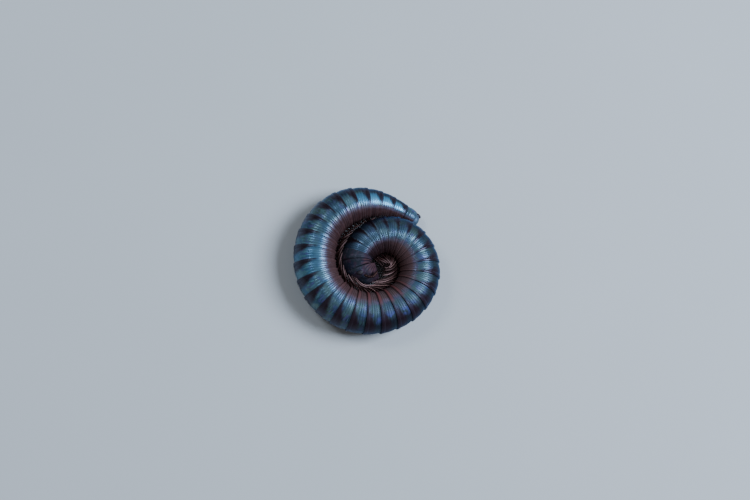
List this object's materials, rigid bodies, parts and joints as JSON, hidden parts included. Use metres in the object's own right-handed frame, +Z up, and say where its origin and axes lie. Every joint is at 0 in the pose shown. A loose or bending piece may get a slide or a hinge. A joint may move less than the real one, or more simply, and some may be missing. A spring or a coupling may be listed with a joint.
{
  "type": "millipede",
  "caption": "Life-size still model of a round-bodied millipede lying on its side in a flat coil, head at the hub and tail outside.",
  "frame": {"origin": "centre of the coil's box, on the floor that the animal lies on", "axes": "+Z up from the floor, along the coil's own axis; +Y toward the coil's top in the picture, where the tail lies; +X to the picture's right"},
  "size_m": [0.032, 0.0326, 0.0106],
  "materials": {
    "rings": "glossy slate blue-grey cuticle with dark maroon hind bands",
    "head": "glossy dark purple-blue cuticle",
    "eyes": "glossy black",
    "limbs": "satin pinkish brown cuticle"
  },
  "bodies": {
    "root": {"head": "head", "eye_left": "eyes", "eye_right": "eyes", "antenna_left": "limbs", "antenna_right": "limbs", "collum": "head", "body_1": "rings", "body_2": "rings", "body_3": "rings", "body_4": "rings", "body_5": "rings", "body_6": "rings", "body_7": "rings", "body_8": "rings", "telson": "rings"}
  },
  "joints": []
}
